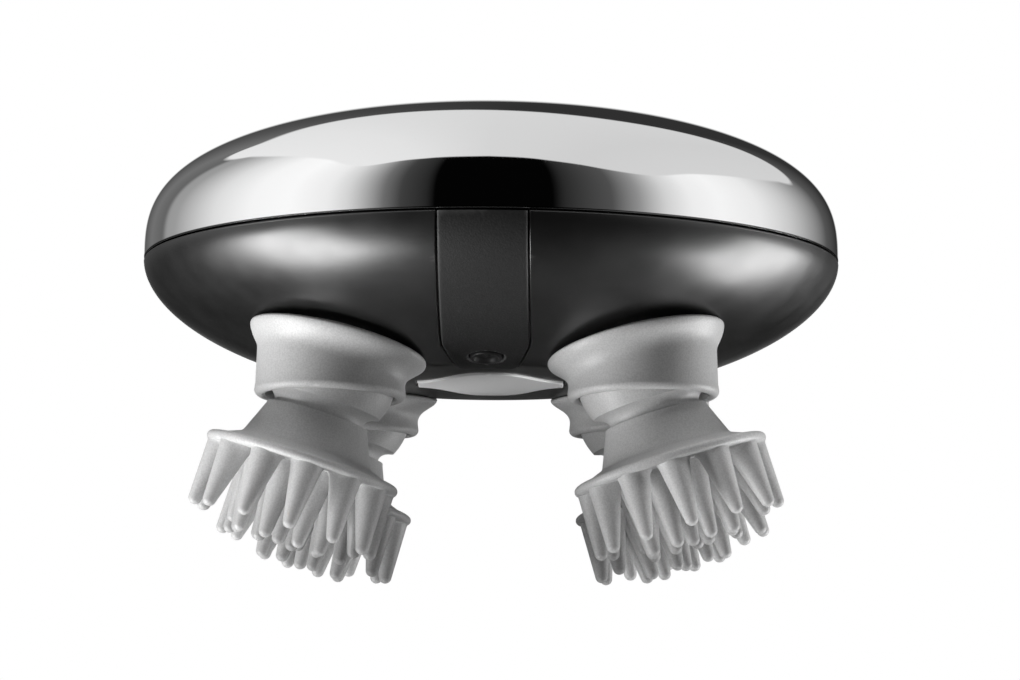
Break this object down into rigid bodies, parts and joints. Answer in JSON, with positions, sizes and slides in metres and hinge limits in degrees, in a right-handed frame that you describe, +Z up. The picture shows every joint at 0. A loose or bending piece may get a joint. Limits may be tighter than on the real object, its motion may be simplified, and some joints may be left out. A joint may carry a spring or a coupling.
{
  "type": "electric scalp massager",
  "caption": "Hand-held electric scalp massager: a pebble-shaped body with a front power button and soft fingered heads that swirl on inclined stubs.",
  "frame": {"origin": "below the body's centre, on the surface that the lowest finger tips stand on", "axes": "+Z up through the domed cover, -Y towards the front strip and button, +X to the object's right seen from the front"},
  "size_m": [0.1388, 0.1391, 0.0913],
  "materials": {
    "chrome_shell": "mirror-plated plastic",
    "black_shell": "satin",
    "panel": "fine grained",
    "button": "satin",
    "grey_plate": "satin",
    "silicone": "matt silicone",
    "seal": "matt",
    "inner_plastic": "moulded",
    "gear_plastic": "moulded",
    "steel": "ground",
    "motor_can": "plated",
    "bush_bronze": "sintered",
    "contact_gold": "plated",
    "circuit": "coated",
    "switch_plastic": "moulded",
    "cell": "foil"
  },
  "bodies": {
    "housing": {"top_cover": "chrome_shell", "lower_shell": "black_shell", "rim_gasket": "seal", "bottom_plate": "grey_plate", "front_panel": "panel", "tact_switch": "switch_plastic", "switch_board": "circuit", "gear_frame": "inner_plastic", "gear_cover": "inner_plastic", "case_screws": "steel", "drive_axle": "steel", "motor": "motor_can", "motor_clamp": "steel", "clamp_screws": "steel", "worm_bearing": "inner_plastic", "battery_tray": "inner_plastic", "battery": "cell", "main_board": "circuit", "charge_contacts": "contact_gold", "lower_bushes": "bush_bronze", "upper_bushes": "bush_bronze", "collar_rings": "inner_plastic", "collar_front_left": "silicone", "collar_front_right": "silicone", "collar_rear_left": "silicone", "collar_rear_right": "silicone"},
    "button": {"power_button": "button", "switch_plunger": "button"},
    "drive": {"drive_gear": "gear_plastic"},
    "worm_shaft": {"worm": "gear_plastic", "motor_shaft": "steel"},
    "shaft_front_left": {"output_gear_front_left": "gear_plastic", "crank_front_left": "steel", "stub_clip_front_left": "steel"},
    "shaft_front_right": {"output_gear_front_right": "gear_plastic", "crank_front_right": "steel", "stub_clip_front_right": "steel"},
    "shaft_rear_left": {"output_gear_rear_left": "gear_plastic", "crank_rear_left": "steel", "stub_clip_rear_left": "steel"},
    "shaft_rear_right": {"output_gear_rear_right": "gear_plastic", "crank_rear_right": "steel", "stub_clip_rear_right": "steel"},
    "head_front_left": {"head_hub_front_left": "inner_plastic", "neck_boot_front_left": "silicone", "massage_head_front_left": "silicone"},
    "head_front_right": {"head_hub_front_right": "inner_plastic", "neck_boot_front_right": "silicone", "massage_head_front_right": "silicone"},
    "head_rear_left": {"head_hub_rear_left": "inner_plastic", "neck_boot_rear_left": "silicone", "massage_head_rear_left": "silicone"},
    "head_rear_right": {"head_hub_rear_right": "inner_plastic", "neck_boot_rear_right": "silicone", "massage_head_rear_right": "silicone"}
  },
  "joints": [
    {"name": "button_press", "type": "slide", "parent": "housing", "child": "button", "axis": [0, 0.2152, 0.9766], "range_m": [0, 0.0006], "stiffness_N_per_m": 1500, "springref_m": -0.0004},
    {"name": "drive_turn", "type": "hinge", "parent": "housing", "child": "drive", "pos_m": [0, 0, 0.06151], "axis": [0, 0, 1], "continuous": true},
    {"name": "worm_turn", "type": "hinge", "parent": "housing", "child": "worm_shaft", "pos_m": [0, -0.016, 0.07441], "axis": [1, 0, 0], "continuous": true},
    {"name": "shaft_turn_front_left", "type": "hinge", "parent": "housing", "child": "shaft_front_left", "pos_m": [-0.03005, -0.03005, 0.06151], "axis": [0, 0, 1], "continuous": true},
    {"name": "shaft_turn_front_right", "type": "hinge", "parent": "housing", "child": "shaft_front_right", "pos_m": [0.03005, -0.03005, 0.06151], "axis": [0, 0, 1], "continuous": true},
    {"name": "shaft_turn_rear_left", "type": "hinge", "parent": "housing", "child": "shaft_rear_left", "pos_m": [-0.03005, 0.03005, 0.06151], "axis": [0, 0, 1], "continuous": true},
    {"name": "shaft_turn_rear_right", "type": "hinge", "parent": "housing", "child": "shaft_rear_right", "pos_m": [0.03005, 0.03005, 0.06151], "axis": [0, 0, 1], "continuous": true},
    {"name": "head_turn_front_left", "type": "hinge", "parent": "shaft_front_left", "child": "head_front_left", "pos_m": [-0.03005, -0.03005, 0.03571], "axis": [0.2924, 0, 0.9563], "continuous": true},
    {"name": "head_turn_front_right", "type": "hinge", "parent": "shaft_front_right", "child": "head_front_right", "pos_m": [0.03005, -0.03005, 0.03571], "axis": [-0.2924, 0, 0.9563], "continuous": true},
    {"name": "head_turn_rear_left", "type": "hinge", "parent": "shaft_rear_left", "child": "head_rear_left", "pos_m": [-0.03005, 0.03005, 0.03571], "axis": [0.2924, 0, 0.9563], "continuous": true},
    {"name": "head_turn_rear_right", "type": "hinge", "parent": "shaft_rear_right", "child": "head_rear_right", "pos_m": [0.03005, 0.03005, 0.03571], "axis": [-0.2924, 0, 0.9563], "continuous": true}
  ],
  "couplings": [
    {"joint": "worm_turn", "follows": "drive_turn", "ratio": -24},
    {"joint": "shaft_turn_front_left", "follows": "drive_turn", "ratio": -1.4286},
    {"joint": "shaft_turn_front_right", "follows": "drive_turn", "ratio": -1.4286},
    {"joint": "shaft_turn_rear_left", "follows": "drive_turn", "ratio": -1.4286},
    {"joint": "shaft_turn_rear_right", "follows": "drive_turn", "ratio": -1.4286},
    {"joint": "head_turn_front_left", "follows": "drive_turn", "ratio": 1.4286},
    {"joint": "head_turn_front_right", "follows": "drive_turn", "ratio": 1.4286},
    {"joint": "head_turn_rear_left", "follows": "drive_turn", "ratio": 1.4286},
    {"joint": "head_turn_rear_right", "follows": "drive_turn", "ratio": 1.4286}
  ]
}
